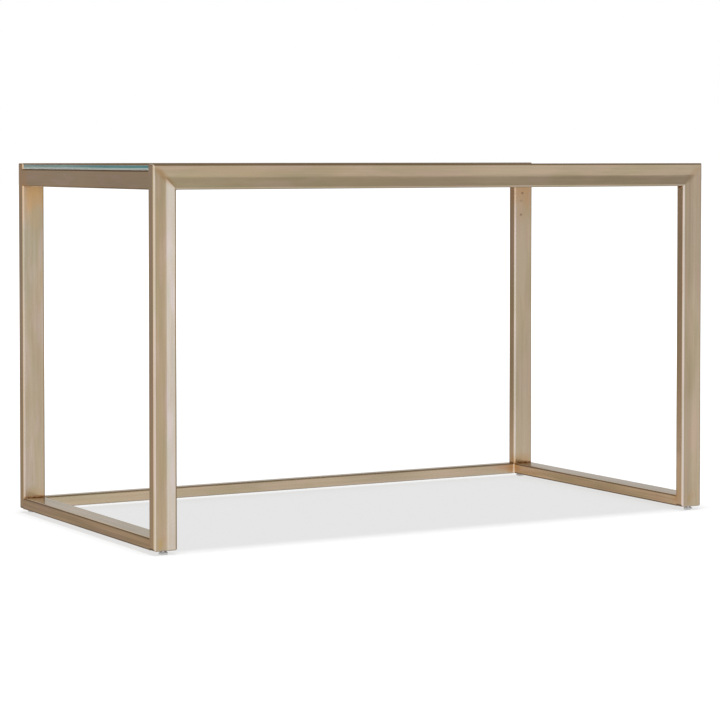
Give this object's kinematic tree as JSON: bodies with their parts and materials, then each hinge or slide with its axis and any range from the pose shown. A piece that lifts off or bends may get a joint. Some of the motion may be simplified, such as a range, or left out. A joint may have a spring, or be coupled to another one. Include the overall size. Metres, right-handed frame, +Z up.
{
  "type": "glass top vanity table",
  "caption": "Vanity table of slim rectangular steel tube in satin champagne, with mitred front and rear frames, a drop-in glass top, an open front and screw levelling glides.",
  "frame": {"origin": "on the floor, at the middle of the footprint", "axes": "+X to the right along the longest side, +Y to the back, +Z up; the open knee side faces -Y"},
  "size_m": [1.32, 0.7, 0.762],
  "materials": {
    "champagne_steel": "satin champagne plating over ground steel tube",
    "clear_glass": "clear float glass with polished, blue-green edges",
    "clear_silicone": "soft milky-clear silicone",
    "translucent_plastic": "milky translucent moulded plastic",
    "zinc_steel": "bright zinc plate"
  },
  "bodies": {
    "root": {"front_left_leg": "champagne_steel", "front_right_leg": "champagne_steel", "rear_left_leg": "champagne_steel", "rear_right_leg": "champagne_steel", "front_top_rail": "champagne_steel", "rear_top_rail": "champagne_steel", "left_top_rail": "champagne_steel", "right_top_rail": "champagne_steel", "left_bottom_rail": "champagne_steel", "right_bottom_rail": "champagne_steel", "rear_bottom_rail": "champagne_steel", "front_glass_ledge": "champagne_steel", "rear_glass_ledge": "champagne_steel", "front_left_foot_plate": "champagne_steel", "front_right_foot_plate": "champagne_steel", "rear_left_foot_plate": "champagne_steel", "rear_right_foot_plate": "champagne_steel", "front_left_foot_nut": "zinc_steel", "front_right_foot_nut": "zinc_steel", "rear_left_foot_nut": "zinc_steel", "rear_right_foot_nut": "zinc_steel", "front_glazing_strip": "clear_silicone", "rear_glazing_strip": "clear_silicone", "left_glazing_strip": "clear_silicone", "right_glazing_strip": "clear_silicone"},
    "glass": {"glass_top": "clear_glass"},
    "front_left_pad": {"front_left_glide_pad": "translucent_plastic"},
    "front_left_stem": {"front_left_glide_stem": "zinc_steel"},
    "front_right_pad": {"front_right_glide_pad": "translucent_plastic"},
    "front_right_stem": {"front_right_glide_stem": "zinc_steel"},
    "rear_left_pad": {"rear_left_glide_pad": "translucent_plastic"},
    "rear_left_stem": {"rear_left_glide_stem": "zinc_steel"},
    "rear_right_pad": {"rear_right_glide_pad": "translucent_plastic"},
    "rear_right_stem": {"rear_right_glide_stem": "zinc_steel"}
  },
  "joints": [
    {"name": "glass_lift", "type": "slide", "parent": "root", "child": "glass", "axis": [0, 0, 1], "range_m": [0, 0.15]},
    {"name": "front_left_level", "type": "slide", "parent": "root", "child": "front_left_pad", "axis": [0, 0, -1], "range_m": [-0.0015, 0.012]},
    {"name": "front_left_screw", "type": "hinge", "parent": "front_left_pad", "child": "front_left_stem", "pos_m": [-0.635, -0.3375, 0.006], "axis": [0, 0, -1], "range_deg": [-432, 3456]},
    {"name": "front_right_level", "type": "slide", "parent": "root", "child": "front_right_pad", "axis": [0, 0, -1], "range_m": [-0.0015, 0.012]},
    {"name": "front_right_screw", "type": "hinge", "parent": "front_right_pad", "child": "front_right_stem", "pos_m": [0.635, -0.3375, 0.006], "axis": [0, 0, -1], "range_deg": [-432, 3456]},
    {"name": "rear_left_level", "type": "slide", "parent": "root", "child": "rear_left_pad", "axis": [0, 0, -1], "range_m": [-0.0015, 0.012]},
    {"name": "rear_left_screw", "type": "hinge", "parent": "rear_left_pad", "child": "rear_left_stem", "pos_m": [-0.635, 0.3375, 0.006], "axis": [0, 0, -1], "range_deg": [-432, 3456]},
    {"name": "rear_right_level", "type": "slide", "parent": "root", "child": "rear_right_pad", "axis": [0, 0, -1], "range_m": [-0.0015, 0.012]},
    {"name": "rear_right_screw", "type": "hinge", "parent": "rear_right_pad", "child": "rear_right_stem", "pos_m": [0.635, 0.3375, 0.006], "axis": [0, 0, -1], "range_deg": [-432, 3456]}
  ],
  "couplings": [
    {"joint": "front_left_screw", "follows": "front_left_level", "rad_per_m": 5026.5},
    {"joint": "front_right_screw", "follows": "front_right_level", "rad_per_m": 5026.5},
    {"joint": "rear_left_screw", "follows": "rear_left_level", "rad_per_m": 5026.5},
    {"joint": "rear_right_screw", "follows": "rear_right_level", "rad_per_m": 5026.5}
  ]
}
